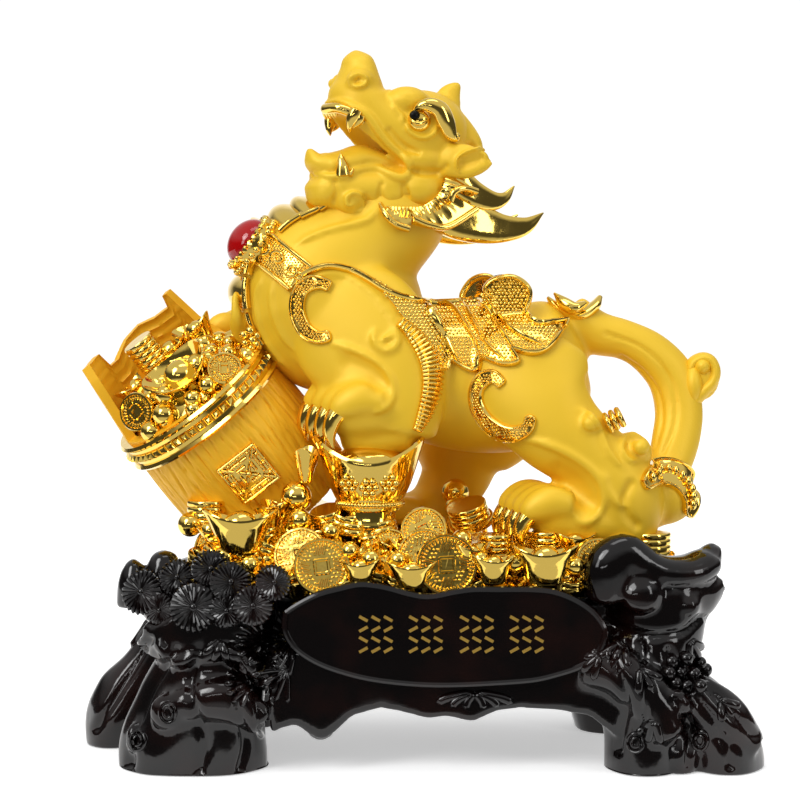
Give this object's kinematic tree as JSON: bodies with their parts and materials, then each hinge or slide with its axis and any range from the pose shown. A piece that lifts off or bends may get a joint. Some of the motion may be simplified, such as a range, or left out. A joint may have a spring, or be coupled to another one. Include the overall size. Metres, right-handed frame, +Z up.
{
  "type": "guardian beast table ornament",
  "caption": "Cast gold-finish winged guardian beast with open mouth, one forepaw on an ingot and one on a tilted treasure barrel, a red stone on its chest, on a black root-carved base.",
  "frame": {"origin": "The middle of the whole outline at the height of the soles of the base, where it stands on the table.", "axes": "+Z is up, +X points to the beast's rump, so its head is on the -X side, and -Y points out of the name panel, the side that is seen. The outline is tallest along Z and shallowest along Y."},
  "size_m": [0.3291, 0.1532, 0.3425],
  "materials": {
    "gold_resin": "matte sand gold with mirror-plated gold relief",
    "red_stone": "polished deep red cabochon",
    "black_lacquer": "gloss black-brown lacquer with gold lettering strokes"
  },
  "bodies": {
    "root": {"cast_figure": "gold_resin", "chest_jewel": "red_stone", "rootwood_base": "black_lacquer"}
  },
  "joints": []
}
